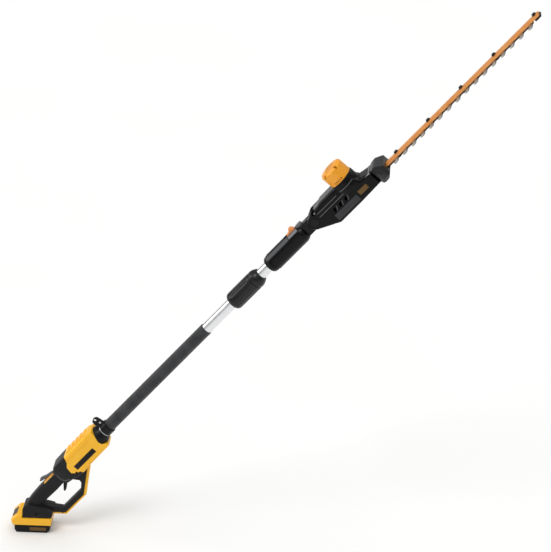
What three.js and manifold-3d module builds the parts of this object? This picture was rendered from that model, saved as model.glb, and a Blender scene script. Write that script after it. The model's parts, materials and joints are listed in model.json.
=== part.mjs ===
// Cordless pole hedge trimmer: battery handle, two-piece pole, tilting cutter head.
// Millimetres, +Z up. The origin is the middle of the battery's base, +X runs towards
// the blade and +Y is the user's left. The tool leans back on its battery, so all but
// the battery is drawn in the tool's own frame: "along" the pole axis, "up" square to
// it, and y across. That frame is one group, tilted by LEAN.
import * as THREE from "three";
import { mergeVertices } from "three/addons/utils/BufferGeometryUtils.js";
import Module from "manifold-3d";

const wasm = await Module();
wasm.setup();

// ---- driving dimensions ----
const LEAN = THREE.MathUtils.degToRad(48.43); // pole axis above the floor
const AXIS_FOOT_X = -73.95; // where the pole axis meets the floor
const GAP = 0.3; // clearance between neighbouring pieces
const FAR = 400; // longer than any cut needs to be

const PACK = { rear: -62, front: 57, half: 39, seam: 24, top: 48, rearTop: 57 };
const PACK_STEP_X = -28.3; // where the pack's raised rear block meets the foot
const RAIL = { neck: 24, head: 28, step: 53, top: 57.8, rear: -34, front: 40 };
const CELL = { radius: 9.2, pitch: 18.3, half: 33, lowest: 12.2 };
const BUTTON = { from: 4, to: 21.5, half: 17, proud: 2, deep: 6 };

const FOOT = { rear: -28, bottom: 48.3, half: 36 };
const GRIP_HALF = 17;
const GUARD_HALF = 12.5;
const BODY_HALF = 33;
const TRIGGER_PIVOT = [245, -13];
const TRIGGER_HALF = 8;
const LEVER_PIVOT = [226, 18.5];
const LEVER_HALF = 7;
const PIN_RADIUS = 1.6;

const POLE = { radius: 16, wall: 1.5, start: 332, end: 1055 };
const FIT_RADIUS = POLE.radius + GAP; // bore of whatever the pole runs in
const HEAD_POLE = { start: 1058, end: 1262 };
const FOAM = { radius: 18.2, start: 461.5, end: 887 };
const NOSE_END = 436;
const LUG = { along: 445, up: 41, hole: 4.5, half: 4 };
const BRACKET_SCREW = [450, 26.5];

const COUPLING = { radius: 27.2, start: 998, end: 1118, core: 19.6 };
const SLEEVE = { radius: 27.2, start: 1153, end: 1300, mouth: 21 };
const LATCH = { start: 1253, end: 1285, half: 9, travel: 8 };

const PIVOT = { along: 1344, up: 1, bolt: 4, cheek: 22, tongue: 19.5, detent: 16 };
const TONGUE_HALF = 13.5;
const SLOT_END = PIVOT.along + PIVOT.tongue + 1.5; // the tongue's way, head at any tilt
const HEAD_HALF = 31.5;
const HEAD_SEAM = 12; // height where the two head housings meet
const HEAD_TOP = 32;
const HEAD_BOTTOM = -50;
const HEAD_FRONT = 1556;

const MOTOR = { along: 1481, collar: 38, cap: 35.5, capBase: 33.3, capTop: 76 };
const TEETH = { gear: 48, pinion: 10, module: 1 };
const GEAR_ALONG = MOTOR.along + ((TEETH.gear + TEETH.pinion) * TEETH.module) / 2;
const GEAR = { bottom: -20, top: -12, hub: 14, axle: 3.5 };
const ECCENTRIC = { radius: 12.5, offset: 7 };
const CASE = { rear: 1468.5, front: 1552, half: 28.5, bottom: -42, top: -6 };

const STROKE = ECCENTRIC.offset; // each blade moves this far either way
const BLADE = { start: 1606, end: 2150, spine: 11, reach: 36, thick: 2.4, top: -33.3 };
const TOOTH = { pitch: 34, count: 16, first: 1630 };
const BAR = { half: 16, bottom: -33, top: -29.5, ridge: -25.5, start: 1553.5, end: 2175 };
const BOLTS = [1638, 1763, 1889, 2014, 2164]; // the last one only holds the tip guard

// ---- colours and finishes ----
const finish = (color, roughness, metalness = 0) =>
  new THREE.MeshStandardMaterial({ color, roughness, metalness });
const YELLOW = finish(0xf7b71c, 0.42);
const ORANGE = finish(0xee9a1c, 0.45);
const BLACK = finish(0x242425, 0.5);
const GLOSS_BLACK = finish(0x161617, 0.28);
const RUBBER = finish(0x2e2e2f, 0.8);
const FOAM_BLACK = finish(0x3a3b3d, 0.95);
const GREY = finish(0x55565a, 0.5);
const TAN = finish(0xe3a63a, 0.5);
const ALUMINIUM = finish(0xc9ccd0, 0.32, 1);
const CAST = finish(0xa5a8ab, 0.5, 1);
const STEEL = finish(0x8d9094, 0.35, 1);
const BRIGHT = finish(0xd6d8da, 0.22, 1);
const BLADE_ORANGE = finish(0xd98a2b, 0.45, 0.2);
const BLADE_STEEL = finish(0x4b4a48, 0.4, 1);
const COPPER = finish(0xb4713d, 0.4, 1);
const CELL_BLUE = finish(0x2f5f9e, 0.5);

// ---- solids ----
// A closed geometry as a solid, turned right side out if its faces point inwards.
function solid(geometry) {
  const bare = geometry.index ? geometry.toNonIndexed() : geometry.clone();
  bare.deleteAttribute("normal");
  bare.deleteAttribute("uv");
  const merged = mergeVertices(bare, 1e-4);
  const vertProperties = new Float32Array(merged.attributes.position.array);
  const whole = [];
  const index = merged.index.array;
  for (let i = 0; i < index.length; i += 3) {
    const [p, q, r] = [index[i], index[i + 1], index[i + 2]];
    if (p !== q && q !== r && r !== p) whole.push(p, q, r);
  }
  const build = (list) =>
    new wasm.Manifold(
      new wasm.Mesh({ numProp: 3, vertProperties, triVerts: new Uint32Array(list) }),
    );
  const made = build(whole);
  return made.volume() < 0 ? build(whole.reverse()) : made;
}

function shapeOf(points, holes = []) {
  const toVectors = (list) => list.map(([x, y]) => new THREE.Vector2(x, y));
  const shape = new THREE.Shape(toVectors(points));
  holes.forEach((hole) => shape.holes.push(new THREE.Path(toVectors(hole))));
  return shape;
}

// A plate of the given outline, from z = 0 up, its rims rounded by the bevel.
function plate(points, depth, bevel = 0, holes = []) {
  return new THREE.ExtrudeGeometry(shapeOf(points, holes), {
    depth: depth - 2 * bevel,
    bevelEnabled: bevel > 0,
    bevelThickness: bevel,
    bevelSize: bevel,
    bevelOffset: -bevel,
    bevelSegments: bevel > 5 ? 4 : 2,
  }).translate(0, 0, bevel);
}

// (along, up) outline, run across from y0 to y1.
const across = (points, y0, y1, bevel, holes) =>
  solid(plate(points, y1 - y0, bevel, holes).rotateX(Math.PI / 2).translate(0, y1, 0));

// (along, y) outline, run up from z0 to z1.
const upward = (points, z0, z1, bevel, holes) =>
  solid(plate(points, z1 - z0, bevel, holes).translate(0, 0, z0));

// (y, up) outline, run along from x0 to x1.
function lengthwise(points, x0, x1, bevel) {
  const turn = new THREE.Matrix4().makeBasis(
    new THREE.Vector3(0, 1, 0),
    new THREE.Vector3(0, 0, 1),
    new THREE.Vector3(1, 0, 0),
  );
  return solid(plate(points, x1 - x0, bevel).applyMatrix4(turn).translate(x0, 0, 0));
}

const box = (x0, x1, y0, y1, z0, z1) =>
  solid(
    new THREE.BoxGeometry(x1 - x0, y1 - y0, z1 - z0).translate(
      (x0 + x1) / 2,
      (y0 + y1) / 2,
      (z0 + z1) / 2,
    ),
  );

// Round bars along each axis.
const rodAlong = (radius, x0, x1, y = 0, z = 0, sides = 24) =>
  solid(
    new THREE.CylinderGeometry(radius, radius, x1 - x0, sides)
      .rotateZ(-Math.PI / 2)
      .translate((x0 + x1) / 2, y, z),
  );
const rodAcross = (radius, y0, y1, x, z, sides = 16) =>
  solid(
    new THREE.CylinderGeometry(radius, radius, y1 - y0, sides).translate(x, (y0 + y1) / 2, z),
  );
const rodUp = (radius, z0, z1, x, y = 0, sides = 24) =>
  solid(
    new THREE.CylinderGeometry(radius, radius, z1 - z0, sides)
      .rotateX(Math.PI / 2)
      .translate(x, y, (z0 + z1) / 2),
  );

// (radius, distance) profiles turned about the pole axis, or about a line square to it.
const turnedAlong = (profile, sides = 32) =>
  solid(
    new THREE.LatheGeometry(profile.map(([r, d]) => new THREE.Vector2(r, d)), sides).rotateZ(
      -Math.PI / 2,
    ),
  );
const turnedUp = (profile, x, sides = 32) =>
  solid(
    new THREE.LatheGeometry(profile.map(([r, d]) => new THREE.Vector2(r, d)), sides)
      .rotateX(Math.PI / 2)
      .translate(x, 0, 0),
  );

const joinAll = (list) => list.reduce((whole, piece) => whole.add(piece));
const cutAll = (from, list) => list.reduce((whole, piece) => whole.subtract(piece), from);

// Points on an arc, angles in degrees from the first outline axis.
function arc(cx, cy, radius, from, to, steps) {
  return Array.from({ length: steps + 1 }, (_, i) => {
    const angle = THREE.MathUtils.degToRad(from + ((to - from) * i) / steps);
    return [cx + radius * Math.cos(angle), cy + radius * Math.sin(angle)];
  });
}

const rectangle = (x0, x1, y0, y1) => [
  [x0, y0],
  [x1, y0],
  [x1, y1],
  [x0, y1],
];

// A slot with round ends, long in x.
const slotOutline = (x, halfLength, halfWidth) => [
  ...arc(x + halfLength - halfWidth, 0, halfWidth, -90, 90, 6),
  ...arc(x - halfLength + halfWidth, 0, halfWidth, 90, 270, 6),
];

// A floor-frame outline point, or a whole geometry, carried into the tool's frame.
function toTool([x, z]) {
  const dx = x - AXIS_FOOT_X;
  return [
    dx * Math.cos(LEAN) + z * Math.sin(LEAN),
    z * Math.cos(LEAN) - dx * Math.sin(LEAN),
  ];
}
const floorToTool = (geometry) =>
  solid(geometry.translate(-AXIS_FOOT_X, 0, 0).rotateY(LEAN));
const floorBox = (x0, x1, y, z0, z1) =>
  floorToTool(
    new THREE.BoxGeometry(x1 - x0, 2 * y, z1 - z0).translate((x0 + x1) / 2, 0, (z0 + z1) / 2),
  );

// The two halves of a shell that parts along the middle.
const RIGHT_HALF = box(-FAR, 6 * FAR, -FAR, -GAP / 2, -FAR, FAR);
const LEFT_HALF = box(-FAR, 6 * FAR, GAP / 2, FAR, -FAR, FAR);

// ---- scene graph ----
const trimmer = new THREE.Group();
const tool = new THREE.Group();
tool.position.x = AXIS_FOOT_X;
tool.rotation.y = -LEAN;
trimmer.add(tool);

function addNode(parent, name, made, material) {
  const { vertProperties, triVerts } = made.getMesh();
  const geometry = new THREE.BufferGeometry()
    .setAttribute("position", new THREE.BufferAttribute(vertProperties, 3))
    .setIndex(new THREE.BufferAttribute(triVerts, 1));
  geometry.computeVertexNormals();
  const mesh = new THREE.Mesh(geometry, material);
  mesh.name = name;
  parent.add(mesh);
}

// ---- battery pack, in the floor frame ----
// The release button lies in the slanted rear face; this gives points on that face.
const SLOPE_LOW = new THREE.Vector2(PACK.rear, 40);
const SLOPE_HIGH = new THREE.Vector2(-43, PACK.rearTop);
const SLOPE = SLOPE_HIGH.clone().sub(SLOPE_LOW).normalize();
const onSlope = (distance, height) => [
  SLOPE_LOW.x + SLOPE.x * distance - SLOPE.y * height,
  SLOPE_LOW.y + SLOPE.y * distance + SLOPE.x * height,
];
const slopeBlock = (from, to, low, high, half) =>
  across(
    [onSlope(from, low), onSlope(to, low), onSlope(to, high), onSlope(from, high)],
    -half,
    half,
  );

function batteryLowerCase() {
  const rim = PACK.seam - GAP / 2;
  const outer = [[-48, 0], [42, 0], [50, 8], [52, rim], [-53, rim], [-53, 9]];
  const inner = [[-47, 2.5], [41, 2.5], [47, 9], [49, 30], [-50, 30], [-50, 10]];
  return across(outer, -PACK.half + 2, PACK.half - 2, 3).subtract(across(inner, -34.3, 34.3));
}

function batteryUpperCase() {
  const low = PACK.seam + GAP / 2;
  const outer = [
    [-57, low],
    [54, low],
    [PACK.front, 33],
    [55, PACK.top],
    [PACK_STEP_X, PACK.top],
    [PACK_STEP_X, PACK.rearTop],
    [SLOPE_HIGH.x, SLOPE_HIGH.y],
    [SLOPE_LOW.x, SLOPE_LOW.y],
  ];
  const inner = [[-50, 20], [49, 20], [53, 34], [50, 45], [-50, 45], [-56, 37]];
  const rail = lengthwise(
    [
      [-RAIL.neck, 46],
      [RAIL.neck, 46],
      [RAIL.neck, RAIL.step],
      [RAIL.head, RAIL.step],
      [RAIL.head, RAIL.top],
      [-RAIL.head, RAIL.top],
      [-RAIL.head, RAIL.step],
      [-RAIL.neck, RAIL.step],
    ],
    RAIL.rear,
    RAIL.front,
  );
  const shell = across(outer, -PACK.half, PACK.half, 4).add(rail);
  return cutAll(shell, [
    across(inner, -35.5, 35.5),
    box(15, RAIL.front + 1, -14, 14, 50.5, 55.5), // the slot for the tool's contacts
    slopeBlock(BUTTON.from - 0.4, BUTTON.to + 0.4, -13, 6, BUTTON.half + 0.4),
  ]);
}

function batteryCells() {
  const rows = [0, 1].map((row) => CELL.lowest + row * CELL.pitch);
  const columns = [-2, -1, 0, 1, 2].map((column) => column * CELL.pitch);
  return joinAll(
    rows.flatMap((z) =>
      columns.map((x) => rodAcross(CELL.radius, -CELL.half, CELL.half, x, z, 12)),
    ),
  );
}

function addBattery() {
  addNode(trimmer, "battery_lower_case", batteryLowerCase(), BLACK);
  addNode(trimmer, "battery_upper_case", batteryUpperCase(), YELLOW);
  addNode(trimmer, "battery_cells", batteryCells(), CELL_BLUE);
  const button = slopeBlock(BUTTON.from, BUTTON.to, -BUTTON.deep, BUTTON.proud, BUTTON.half);
  addNode(trimmer, "battery_button", button, GREY);
}

// ---- handle: black grip shells, yellow housings, guard trim ----
const FOOT_OUTLINE = [
  [FOOT.rear, FOOT.bottom],
  [56, FOOT.bottom],
  [60, 57],
  [59, 66],
  [44, 72],
  [16, 80],
  [-12, 84],
  [-24, 79],
  [FOOT.rear, 72],
].map(toTool);
const GRIP_OUTLINE = [
  [72, 0],
  [82, 9],
  [96, 13.5],
  [124, 17.5],
  [160, 20],
  [205, 20.5],
  [244, 20],
  [244, -21],
  [200, -23],
  [150, -21.5],
  [128, -20.5],
  [112, -36],
  [92, -26],
];
const GUARD_OUTLINE = [
  [106, 2],
  [112, -44],
  [125, -55.1],
  [155, -89],
  [237, -89],
  [305, -45],
  [296, -6],
  [246, 6],
];
const FINGER_HOLE = [
  [133, -21],
  [141, -43],
  [161, -74],
  [243, -74],
  [263, -59],
  [266, -50],
  [253, -31],
  [238, -21],
];
// Trim strip under the guard: inner line, then outer line back.
const TRIM_OUTLINE = [
  [131.1, -62.5],
  [154.8, -89.4],
  [237.1, -89.4],
  [305.2, -45.4],
  [318, -38.5],
  [330.5, -38.5],
  [242.4, -95],
  [152.1, -95],
  [126.8, -66.4],
];
// The swollen body in front of the grip, black behind and yellow ahead.
const BODY_OUTLINE = [
  [234, 18],
  [240, 26],
  [252, 35],
  [300, 36.5],
  [404, 36.5],
  [418, 31],
  [428, -20],
  [422, -34.5],
  [330, -36],
  [316, -38],
  [296, -38],
  [262, -30],
  [242, -26],
  [234, -18],
];
const BODY_PLAN = [
  [232, 19],
  [246, 29],
  [262, BODY_HALF],
  [386, BODY_HALF],
  [438, 24],
];
// Where black gives way to yellow, seen from the side.
const BLACK_EDGE = [
  [304, 60],
  [303, 36],
  [300, 22],
  [284, 8],
  [280, -12],
  [290, -23],
  [303, -27],
  [308, -45.5],
  [308, -100],
];
const FLARE = { rear: 396, radius: 34, tip: 22 }; // the nose collar's cone

// Where the housing stops and the nose collar begins; a lip runs on beneath the collar.
const noseCut = (shift) => [
  [426 + shift, 50],
  [411 + shift, -6],
  [412 + shift, -16],
  [424 + shift, -28 + shift],
  [600, -28 + shift],
  [600, 50],
];

function mirrored(plan) {
  return [...plan, ...plan.map(([x, y]) => [x, -y]).reverse()];
}

function bodyBlank() {
  const side = across(BODY_OUTLINE, -BODY_HALF, BODY_HALF, 9);
  return side.intersect(upward(mirrored(BODY_PLAN), -60, 60));
}

function handleBlank() {
  const footSides = [
    [-FOOT.half, 46],
    [FOOT.half, 46],
    [FOOT.half, 58],
    [29, 74],
    [19, 92],
    [-19, 92],
    [-29, 74],
    [-FOOT.half, 58],
  ];
  const footLimit = floorToTool(
    plate(footSides, 120)
      .applyMatrix4(
        new THREE.Matrix4().makeBasis(
          new THREE.Vector3(0, 1, 0),
          new THREE.Vector3(0, 0, 1),
          new THREE.Vector3(1, 0, 0),
        ),
      )
      .translate(-45, 0, 0),
  );
  const foot = across(FOOT_OUTLINE, -FOOT.half, FOOT.half, 3).intersect(footLimit);
  const grip = across(GRIP_OUTLINE, -GRIP_HALF, GRIP_HALF, 9);
  const guard = across(GUARD_OUTLINE, -GUARD_HALF, GUARD_HALF, 3, [FINGER_HOLE]);
  const behindEdge = across([[0, 60], ...BLACK_EDGE, [0, -100]], -FAR, FAR);
  return joinAll([foot, grip, guard.add(bodyBlank()).intersect(behindEdge)]);
}

const CRADLE = { rear: 187, front: 231, half: 14.5, bottom: 12.5 };

function handleCavities() {
  const gripHollow = [[104, -8], [104, 7], [160, 10.5], [230, 12], [230, -14], [160, -14]];
  const bulbHollow = [
    [229, -14],
    [229, 11],
    [248, 24],
    [310, 29],
    [310, -30],
    [262, -20],
    [250, -18],
  ];
  const bulbWalls = [[228, 12], [240, 12.5], [250, 20], [262, 26], [312, 26]];
  return [
    floorBox(-50, 52.5, RAIL.head + 0.4, RAIL.step - 0.4, RAIL.top + 0.4),
    floorBox(-50, 52.5, RAIL.neck + 0.4, 40, RAIL.step),
    across(gripHollow, -12.5, 12.5),
    across(bulbHollow, -26, 26).intersect(upward(mirrored(bulbWalls), -60, 60)),
    box(205, 253, -TRIGGER_HALF - 0.8, TRIGGER_HALF + 0.8, -32, -6),
    box(CRADLE.rear - GAP, CRADLE.front + GAP, -CRADLE.half - GAP, CRADLE.half + GAP,
      CRADLE.bottom - GAP, 40),
    rodAcross(PIN_RADIUS + GAP, -15, 15, TRIGGER_PIVOT[0], TRIGGER_PIVOT[1]),
  ];
}

// Screws that hold the shells, sunk in from the right: along, up, and how deep they start.
const SHELL_SCREWS = [
  { name: "shell_screw_foot", at: toTool([14, 62]), head: 31 },
  { name: "shell_screw_body", at: [292, -22], head: 29 },
];
const screwPocket = ({ at, head }) =>
  joinAll([
    rodAcross(3.6, -FAR, -head + 3, at[0], at[1], 12),
    rodAcross(1.8, -head, head - 4, at[0], at[1], 8),
  ]);
const screwSolid = ({ at, head }) =>
  joinAll([
    rodAcross(3.2, -head, -head + 2.6, at[0], at[1], 12),
    rodAcross(1.4, -head + 2, head - 6, at[0], at[1], 8),
  ]);

function frontHousing() {
  const ahead = across([[600, 60], ...BLACK_EDGE.map(([x, z]) => [x + GAP, z]), [600, -100]],
    -FAR, FAR);
  const shell = bodyBlank().intersect(ahead);
  const ribs = [0, 1, 2, 3, 4].map((i) => {
    const at = 312 + i * 18;
    return across([[at, 34], [at + 12, 34], [at + 10, 39.5], [at + 2, 39.5]], -19, 19, 1);
  });
  return cutAll(joinAll([shell, ...ribs]), [
    across(noseCut(0), -FAR, FAR),
    box(250, 334, -29.5, 29.5, -31, 31),
    box(342, 390, -29.5, 29.5, -31, 31),
    rodAlong(FIT_RADIUS, 320, 450, 0, 0, 32),
  ]);
}

function noseCollar() {
  const cone = turnedAlong([
    [0, FLARE.rear - 4],
    [FLARE.radius - 1, FLARE.rear - 4],
    [FLARE.radius - 3, 414],
    [FLARE.tip + 5, 428],
    [FLARE.tip, NOSE_END],
    [0, NOSE_END],
  ]);
  return cone.intersect(across(noseCut(GAP), -FAR, FAR)).subtract(
    rodAlong(FIT_RADIUS, 380, 450, 0, 0, 32),
  );
}

function strapBracket() {
  const band = rodAlong(21, 439.6, 461.2, 0, 0, 32);
  const lugOutline = [
    [434, 16],
    [434, 38],
    ...arc(LUG.along, LUG.up - 3, 11, 180, 150, 1),
    ...arc(LUG.along + 1, LUG.up - 4, 11, 120, 20, 4),
    [459.5, 16],
  ];
  const lug = across(lugOutline, -LUG.half, LUG.half, 1);
  return cutAll(band.add(lug), [
    rodAlong(FIT_RADIUS, 420, 470, 0, 0, 32),
    box(430, 439.6, -8, 8, 0, 25),
    rodAcross(LUG.hole, -10, 10, LUG.along, LUG.up, 16),
    rodAcross(2.3, -10, 10, ...BRACKET_SCREW, 12),
    rodAcross(4, -10, -1.6, ...BRACKET_SCREW, 12),
    rodAcross(4, 1.6, 10, ...BRACKET_SCREW, 12),
  ]);
}

const bracketScrew = () =>
  joinAll([
    rodAcross(3.6, -LUG.half + 0.4, -1.9, ...BRACKET_SCREW, 12),
    rodAcross(2, -2.5, 2.5, ...BRACKET_SCREW, 12),
    rodAcross(3.4, 1.9, LUG.half - 0.4, ...BRACKET_SCREW, 6),
  ]);

function leverCradle() {
  const profile = [
    [CRADLE.rear, CRADLE.bottom],
    [CRADLE.front, CRADLE.bottom],
    [CRADLE.front, 21.5],
    [190, 21.5],
    [CRADLE.rear, 19],
  ];
  return cutAll(across(profile, -CRADLE.half, CRADLE.half, 3), [
    box(210, 240, -LEVER_HALF - 0.4, LEVER_HALF + 0.4, 14.5, 40),
    box(180, 211, -LEVER_HALF - 0.4, LEVER_HALF + 0.4, 17.5, 40),
    rodAcross(PIN_RADIUS + GAP, -20, 20, ...LEVER_PIVOT),
  ]);
}

function lockOffLever() {
  const profile = [
    [230, 15.5],
    [230, 22],
    [224, 25],
    [208, 27.5],
    [196, 32],
    [187, 34],
    [181.5, 31.5],
    [182, 28],
    [190, 26],
    [206, 22.5],
    [214, 21.5],
    [220, 16],
  ];
  return across(profile, -LEVER_HALF, LEVER_HALF, 1.5).subtract(
    rodAcross(PIN_RADIUS + GAP, -20, 20, ...LEVER_PIVOT),
  );
}

function trigger() {
  const profile = [
    [250.5, -11],
    [248, -7.5],
    [238, -7.5],
    [229, -19],
    [208.5, -36.5],
    [206, -40],
    [208, -43.5],
    [214, -42],
    [240, -26],
    [250.5, -17],
  ];
  return across(profile, -TRIGGER_HALF, TRIGGER_HALF, 1.5).subtract(
    rodAcross(PIN_RADIUS + GAP, -20, 20, ...TRIGGER_PIVOT),
  );
}

// A torsion spring: a few close turns round a pin, with two straight legs.
function torsionSpring([x, z], y, turns, radius, wire) {
  class Coil extends THREE.Curve {
    getPoint(t) {
      const angle = t * turns * 2 * Math.PI;
      return new THREE.Vector3(
        x + radius * Math.cos(angle),
        y + t * turns * wire * 2.4,
        z + radius * Math.sin(angle),
      );
    }
  }
  const section = shapeOf(arc(0, 0, wire, 0, 300, 5));
  return solid(
    new THREE.ExtrudeGeometry(section, {
      extrudePath: new Coil(),
      steps: turns * 14,
      bevelEnabled: false,
    }),
  );
}

function tubeAlong(outer, inner, x0, x1, sides = 32) {
  return rodAlong(outer, x0, x1, 0, 0, sides).subtract(
    rodAlong(inner, x0 - 1, x1 + 1, 0, 0, sides),
  );
}

function addHandle() {
  const black = cutAll(handleBlank(), [...handleCavities(), ...SHELL_SCREWS.map(screwPocket)]);
  addNode(tool, "handle_shell_right", black.intersect(RIGHT_HALF), BLACK);
  addNode(tool, "handle_shell_left", black.intersect(LEFT_HALF), BLACK);
  const yellow = cutAll(frontHousing(), SHELL_SCREWS.map(screwPocket));
  addNode(tool, "front_housing_right", yellow.intersect(RIGHT_HALF), YELLOW);
  addNode(tool, "front_housing_left", yellow.intersect(LEFT_HALF), YELLOW);
  addNode(tool, "guard_trim", across(TRIM_OUTLINE, -10, 10, 1.5), YELLOW);
  SHELL_SCREWS.forEach((screw) => addNode(tool, screw.name, screwSolid(screw), STEEL));

  addNode(tool, "trigger", trigger(), BLACK);
  addNode(tool, "trigger_pin", rodAcross(PIN_RADIUS, -14, 14, ...TRIGGER_PIVOT, 12), STEEL);
  addNode(tool, "trigger_spring", torsionSpring(TRIGGER_PIVOT, 9.8, 2, 3, 0.6), BRIGHT);
  addNode(tool, "lever_cradle", leverCradle(), TAN);
  addNode(tool, "lock_off_lever", lockOffLever(), GREY);
  addNode(tool, "lever_pin", rodAcross(PIN_RADIUS, -9.5, 9.5, ...LEVER_PIVOT, 12), STEEL);
  addNode(tool, "trigger_switch", box(186, 226, -9, 9, -7, 9.5), BLACK);
  const contacts = joinAll([
    floorBox(41, 52, 22, 49, 57.8),
    floorBox(18, 42, 12, 52, 54),
  ]);
  addNode(tool, "terminal_block", contacts, COPPER);
  const module = cutAll(across(rectangle(264, 322, -20, 20), -20, 20, 2), [
    box(268, 318, -17, 17, 12, 30),
  ]);
  addNode(tool, "control_module", module, CAST);

  addNode(tool, "nose_collar", noseCollar(), BLACK);
  addNode(tool, "retaining_ring", tubeAlong(20.5, FIT_RADIUS, NOSE_END + GAP, 439.3), BRIGHT);
  addNode(tool, "strap_bracket", strapBracket(), BLACK);
  addNode(tool, "bracket_screw", bracketScrew(), STEEL);
}

// ---- pole, foam grip and coupling ----
function couplingSleeve() {
  const lip = FIT_RADIUS + 0.3;
  const bore = COUPLING.core + 0.4;
  const r = COUPLING.radius;
  return turnedAlong([
    [lip, COUPLING.start],
    [22, COUPLING.start],
    [25.6, 1001.5],
    [r, 1008],
    [r, 1087],
    [r - 1.4, 1088],
    [r - 1.4, 1091],
    [r, 1092],
    [r - 0.8, 1096],
    [21.5, 1109],
    [18.8, COUPLING.end],
    [lip, COUPLING.end],
    [lip, 1110],
    [bore, 1110],
    [bore, 1010],
    [lip, 1010],
    [lip, COUPLING.start],
  ]);
}

function addPole() {
  const bore = POLE.radius - POLE.wall;
  addNode(tool, "lower_pole", tubeAlong(POLE.radius, bore, POLE.start, POLE.end), ALUMINIUM);
  addNode(tool, "foam_grip", tubeAlong(FOAM.radius, FIT_RADIUS, FOAM.start, FOAM.end),
    FOAM_BLACK);
  addNode(tool, "coupling_body", tubeAlong(COUPLING.core, FIT_RADIUS, 1011, 1109), CAST);
  addNode(tool, "coupling_sleeve", couplingSleeve(), BLACK);
  const plugRadius = bore - GAP;
  const socket = rodAlong(plugRadius, 1030, POLE.end).subtract(rodAlong(4.5, 1042, 1060));
  addNode(tool, "connector_socket", socket, RUBBER);
  addNode(tool, "head_pole", tubeAlong(POLE.radius, bore, HEAD_POLE.start, HEAD_POLE.end),
    ALUMINIUM);
  const plug = joinAll([
    rodAlong(plugRadius, HEAD_POLE.start, 1080),
    rodAlong(4, 1045, 1060, 0, 0, 16),
  ]);
  addNode(tool, "connector_plug", plug, RUBBER);
}

// ---- tilting joint: sleeve, latch, tongue, detent ----
function sleeveBlank() {
  const r = SLEEVE.radius;
  const body = turnedAlong([
    [0, SLEEVE.start],
    [21, SLEEVE.start],
    [24.5, 1157],
    [26, 1166],
    [24.8, 1168],
    [24.8, 1170],
    [r, 1172],
    [r, 1287],
    [24.5, 1294],
    [SLEEVE.mouth, SLEEVE.end],
    [0, SLEEVE.end],
  ]);
  return cutAll(body, [
    rodAlong(FIT_RADIUS, 1100, HEAD_POLE.end + 0.5, 0, 0, 32),
    box(HEAD_POLE.end, 1400, -12.3, 12.3, -12.3, 12.3),
    // pocket for the latch, open at the top
    box(LATCH.start - LATCH.travel - 2, LATCH.end + 2, -LATCH.half - 0.6, LATCH.half + 0.6,
      15.7, 60),
    // slot from the pocket down to the lock bolt
    box(1262, 1285, -4, 4, 0, 20),
  ]);
}

function latch() {
  const profile = [
    [LATCH.start, 16],
    [LATCH.end, 16],
    [LATCH.end, 22],
    [1282, 30],
    [1277, 36],
    [1271, 36.5],
    [1266, 29],
    [1256, 27.5],
    [LATCH.start, 25],
  ];
  return joinAll([
    across(profile, -LATCH.half, LATCH.half, 2),
    box(1272, 1278, -3, 3, 5, 18),
  ]);
}

function pivotTongue() {
  const { along, up, tongue, bolt } = PIVOT;
  const outline = [
    [SLEEVE.end + GAP, -19],
    ...arc(along, up, tongue, -85, 85, 12),
    [SLEEVE.end + GAP, 20],
  ];
  const root = box(HEAD_POLE.end + 1, SLEEVE.end + 2, -12, 12, -12, 12);
  return cutAll(across(outline, -TONGUE_HALF, TONGUE_HALF, 2).add(root), [
    box(PIVOT.along - PIVOT.detent - 1, 1400, -4, 4, -60, 60), // the detent plate's slot
    rodAlong(3.5, 1250, 1340, 0, up, 12), // the lock bolt's bore
    box(1262, 1285, -4, 4, up, 20), // the latch leg's way
    rodAcross(bolt + GAP, -20, 20, along, up),
  ]);
}

// A plate on the head with one notch for each of the seven tilt positions.
function detentPlate() {
  const { along, up, detent, bolt } = PIVOT;
  const disc = across(arc(along, up, detent, 0, 345, 23), -3.4, 3.4);
  const arm = box(along, 1388, -3.4, 3.4, up - 8, up + 8);
  const notches = [-90, -60, -30, 0, 30, 60, 90].map((tilt) => {
    const angle = THREE.MathUtils.degToRad(180 + tilt);
    return rodAcross(
      2.6,
      -5,
      5,
      along + (detent + 0.5) * Math.cos(angle),
      up + (detent + 0.5) * Math.sin(angle),
      8,
    );
  });
  return cutAll(disc.add(arm), [...notches, rodAcross(bolt + 0.2, -20, 20, along, up)]);
}

function addTiltJoint() {
  addNode(tool, "sleeve_right", sleeveBlank().intersect(RIGHT_HALF), GLOSS_BLACK);
  addNode(tool, "sleeve_left", sleeveBlank().intersect(LEFT_HALF), GLOSS_BLACK);
  addNode(tool, "tilt_latch", latch(), ORANGE);
  addNode(tool, "lock_bolt", rodAlong(3, 1266, 1326, 0, PIVOT.up, 12), STEEL);
  addNode(tool, "pivot_tongue", pivotTongue(), BLACK);
  addNode(tool, "detent_plate", detentPlate(), STEEL);
  const bolt = joinAll([
    rodAcross(PIVOT.bolt, -27, 26, PIVOT.along, PIVOT.up),
    rodAcross(7, -28.5, -26.5, PIVOT.along, PIVOT.up),
  ]);
  addNode(tool, "pivot_bolt", bolt, BRIGHT);
}

// ---- cutter head ----
const HEAD_OUTLINE = [
  [1352, 28.5],
  [1384, 29],
  [1393, HEAD_TOP],
  [1500, HEAD_TOP],
  [1519, 0],
  [HEAD_FRONT, -7],
  [HEAD_FRONT, HEAD_BOTTOM + 2],
  [1480, HEAD_BOTTOM],
  [1395, HEAD_BOTTOM],
  ...arc(PIVOT.along, PIVOT.up, PIVOT.cheek, 240, 100, 9),
];
const HEAD_PLAN = [
  [1318, 26],
  [1326, 29.5],
  [1380, HEAD_HALF],
  [1542, HEAD_HALF],
  [HEAD_FRONT, 29],
];

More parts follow.
